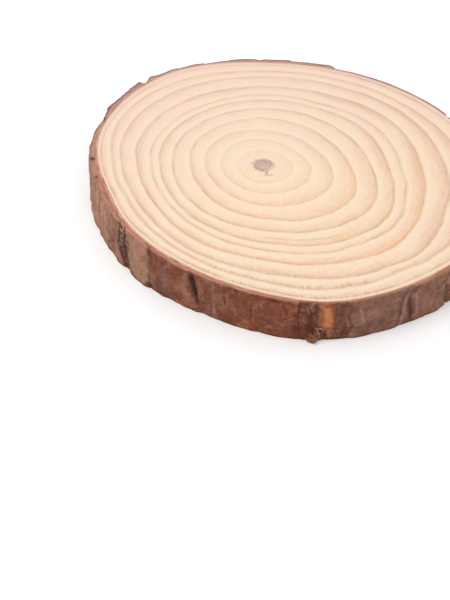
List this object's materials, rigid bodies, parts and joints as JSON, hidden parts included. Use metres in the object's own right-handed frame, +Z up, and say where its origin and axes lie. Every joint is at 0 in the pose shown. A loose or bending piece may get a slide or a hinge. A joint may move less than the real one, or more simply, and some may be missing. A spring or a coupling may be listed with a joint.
{
  "type": "wood slice",
  "caption": "Thin round slice of a softwood trunk, sawn flat on both faces, with growth rings, pith and its rough bark left on the rim.",
  "frame": {"origin": "middle of the slice's bounding box on its sawn underside, so the surface it lies on is z = 0", "axes": "+Z up through the thickness, the way the trunk grew; +X and +Y across the face, with -Y toward the viewer of the picture"},
  "size_m": [0.189, 0.1768, 0.022],
  "materials": {
    "wood": "pale cream softwood end grain with tan growth rings, fine-sanded and matt",
    "bark": "rough grey-brown to red-brown pine bark, matt, with reddish inner bark at the sawn edge"
  },
  "bodies": {
    "root": {"wood_slice": "wood"}
  },
  "joints": []
}
